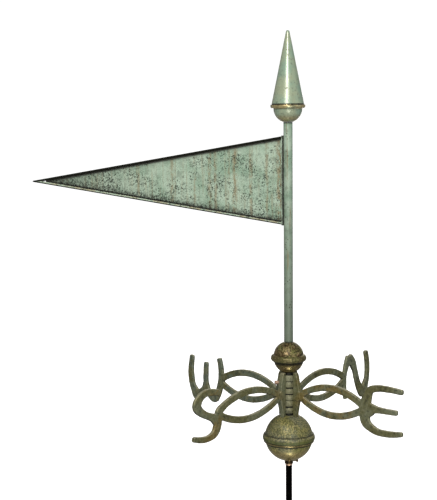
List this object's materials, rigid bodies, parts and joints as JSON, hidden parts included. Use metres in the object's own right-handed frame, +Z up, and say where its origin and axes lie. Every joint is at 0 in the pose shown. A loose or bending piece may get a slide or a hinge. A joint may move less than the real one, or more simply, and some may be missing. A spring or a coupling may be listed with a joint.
{
  "type": "weathervane",
  "caption": "Banner weathervane: a tapering flag and finial on a tube that turns on a steel rod, above two globes and lettered compass arms.",
  "frame": {"origin": "centre of the flat lower end of the steel rod, where it goes into its roof mount", "axes": "+Z up along the rod, +Y to the letter N, +X to the letter E; at rest the banner points between W and S"},
  "size_m": [0.7993, 0.7627, 1.3159],
  "materials": {
    "black_steel": "black, semi-matt",
    "bright_copper": "bronze with a worn copper lip",
    "olive_copper": "olive patina with fine speckle, worn bright on the seam",
    "cast_brass": "cast, dark olive patina worn to ochre",
    "screw_brass": "pinkish worn brass",
    "mottled_bronze": "mottled brown patina",
    "verdigris": "pale verdigris with ochre runs and dark specks",
    "sage_copper": "sage patina with a satin sheen"
  },
  "bodies": {
    "standing": {"steel_rod": "black_steel", "rod_collar": "bright_copper", "collar_screw": "bright_copper", "large_globe": "olive_copper", "directional_north_south": "cast_brass", "directional_east_west": "cast_brass", "hub_set_screw": "screw_brass", "small_globe": "mottled_bronze"},
    "vane": {"mast_tube": "verdigris", "finial_cup": "sage_copper", "finial_spire": "sage_copper", "banner_panel": "verdigris", "banner_top_rail": "verdigris", "banner_bottom_rail": "verdigris", "banner_hoist_rail": "verdigris"}
  },
  "joints": [
    {"name": "vane_turn", "type": "hinge", "parent": "standing", "child": "vane", "pos_m": [0, 0, 0.5544], "axis": [0, 0, 1], "continuous": true}
  ]
}
